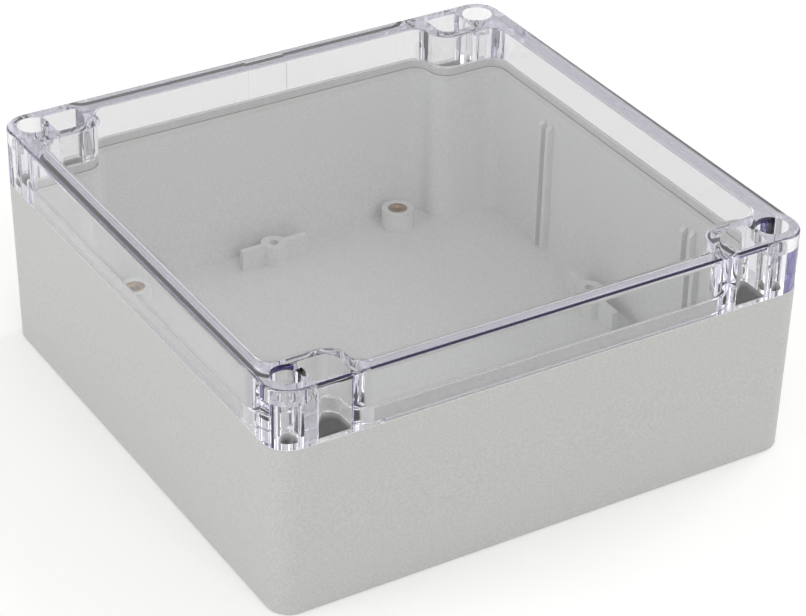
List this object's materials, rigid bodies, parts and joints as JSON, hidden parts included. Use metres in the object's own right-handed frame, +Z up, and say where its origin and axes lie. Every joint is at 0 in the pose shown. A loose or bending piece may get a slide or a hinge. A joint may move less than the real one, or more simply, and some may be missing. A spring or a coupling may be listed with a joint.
{
  "type": "polycarbonate enclosure",
  "caption": "Square grey polycarbonate box with a tall clear lift-off lid, sealed inner rim, corner wells for wall mounting and brass-insert board standoffs.",
  "frame": {"origin": "centre of the underside", "axes": "+Z up through the lid, +X along the front side, +Y from the front side to the back side"},
  "size_m": [0.14, 0.14, 0.0595],
  "materials": {
    "base_polycarbonate": "fine moulded texture, light warm grey",
    "clear_polycarbonate": "clear, polished, faint violet edge",
    "gasket_silicone": "soft, light grey",
    "brass": "turned and knurled"
  },
  "bodies": {
    "base": {"enclosure_base": "base_polycarbonate", "lid_gasket": "gasket_silicone", "lid_insert_back_right": "brass", "lid_insert_back_left": "brass", "lid_insert_front_left": "brass", "lid_insert_front_right": "brass", "board_insert_back_right": "brass", "board_insert_back_left": "brass", "board_insert_front_left": "brass", "board_insert_front_right": "brass"},
    "lid": {"clear_lid": "clear_polycarbonate"}
  },
  "joints": [
    {"name": "lid_lift", "type": "slide", "parent": "base", "child": "lid", "axis": [0, 0, 1], "range_m": [0, 0.06]}
  ]
}
